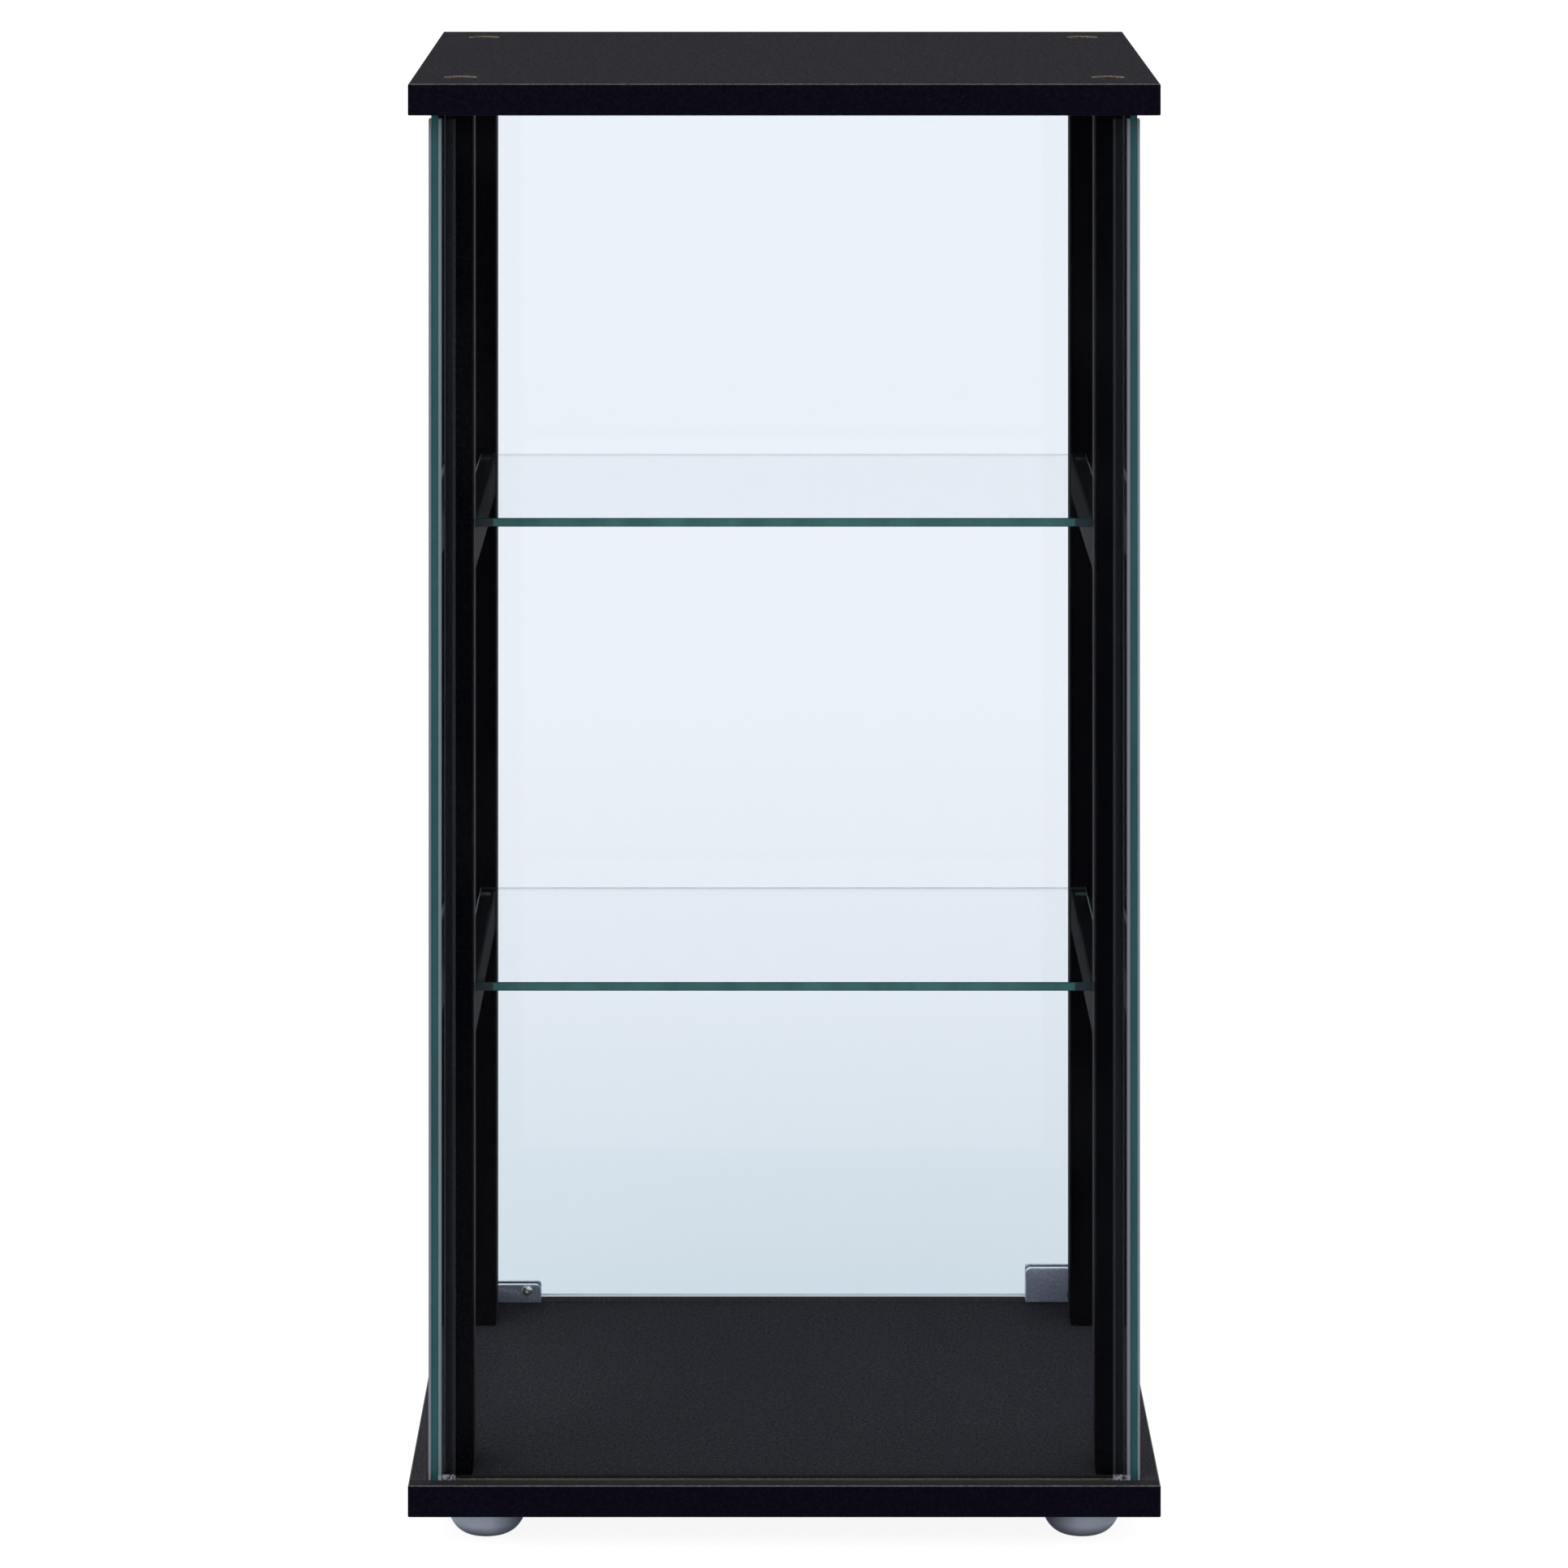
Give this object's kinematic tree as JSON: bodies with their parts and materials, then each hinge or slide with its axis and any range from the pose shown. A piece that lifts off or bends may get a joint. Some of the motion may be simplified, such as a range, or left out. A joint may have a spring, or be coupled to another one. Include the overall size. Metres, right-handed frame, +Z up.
{
  "type": "tower display case",
  "caption": "Upright glass showcase with black top and base boards, ladder side frames, glass shelves, round feet and a pivoted rear glass door with a touch latch.",
  "frame": {"origin": "on the floor, under the middle of the case", "axes": "+Z up; -Y the front with the fixed pane, +Y the rear with the door; +X right seen from the front"},
  "size_m": [0.425, 0.368, 0.83],
  "materials": {
    "black_laminate": "satin black laminate on fibreboard",
    "clear_glass": "clear float glass with green edges",
    "clear_plastic": "clear extruded plastic",
    "clear_rubber": "soft clear polyurethane",
    "beech_dowel": "fluted beech",
    "zinc_steel": "zinc plated",
    "grey_plastic": "silver-grey moulded plastic",
    "grey_metal": "satin dark grey",
    "chrome_screw": "bright chrome",
    "black_plastic": "moulded black plastic"
  },
  "bodies": {
    "case": {"base_board": "black_laminate", "base_bolts": "zinc_steel", "base_washers": "zinc_steel", "corner_strip_left": "clear_plastic", "corner_strip_right": "clear_plastic", "foot_front_left": "grey_plastic", "foot_front_right": "grey_plastic", "foot_rear_left": "grey_plastic", "foot_rear_right": "grey_plastic", "foot_screws": "zinc_steel", "frame_dowels": "beech_dowel", "front_glass": "clear_glass", "latch_body": "black_plastic", "latch_spring": "zinc_steel", "pivot_bush_lower": "black_plastic", "pivot_bush_upper": "black_plastic", "post_front_left": "black_laminate", "post_front_right": "black_laminate", "post_inserts": "zinc_steel", "post_rear_left": "black_laminate", "post_rear_right": "black_laminate", "shelf_lower": "clear_glass", "shelf_pads_lower": "clear_rubber", "shelf_pads_upper": "clear_rubber", "shelf_rail_lower_left": "black_laminate", "shelf_rail_lower_right": "black_laminate", "shelf_rail_upper_left": "black_laminate", "shelf_rail_upper_right": "black_laminate", "shelf_upper": "clear_glass", "side_glass_left": "clear_glass", "side_glass_right": "clear_glass", "top_board": "black_laminate", "top_bolts": "zinc_steel", "top_washers": "zinc_steel"},
    "door": {"door_glass": "clear_glass", "hinge_clip_lower": "grey_metal", "hinge_clip_upper": "grey_metal", "hinge_pin_lower": "zinc_steel", "hinge_pin_upper": "zinc_steel", "hinge_liners": "clear_rubber", "hinge_screws": "chrome_screw", "strike_plate": "grey_metal", "strike_liner": "clear_rubber"},
    "latch_plunger": {"latch_plunger": "black_plastic", "latch_magnet": "zinc_steel"}
  },
  "joints": [
    {"name": "door_hinge", "type": "hinge", "parent": "case", "child": "door", "pos_m": [-0.185, 0.174, 0.4255], "axis": [0, 0, 1], "range_deg": [0, 135]},
    {"name": "latch_push", "type": "slide", "parent": "case", "child": "latch_plunger", "axis": [0, 1, 0], "range_m": [-0.004, 0], "stiffness_N_per_m": 400, "springref_m": 0.002, "deforming": ["latch_spring"]}
  ]
}
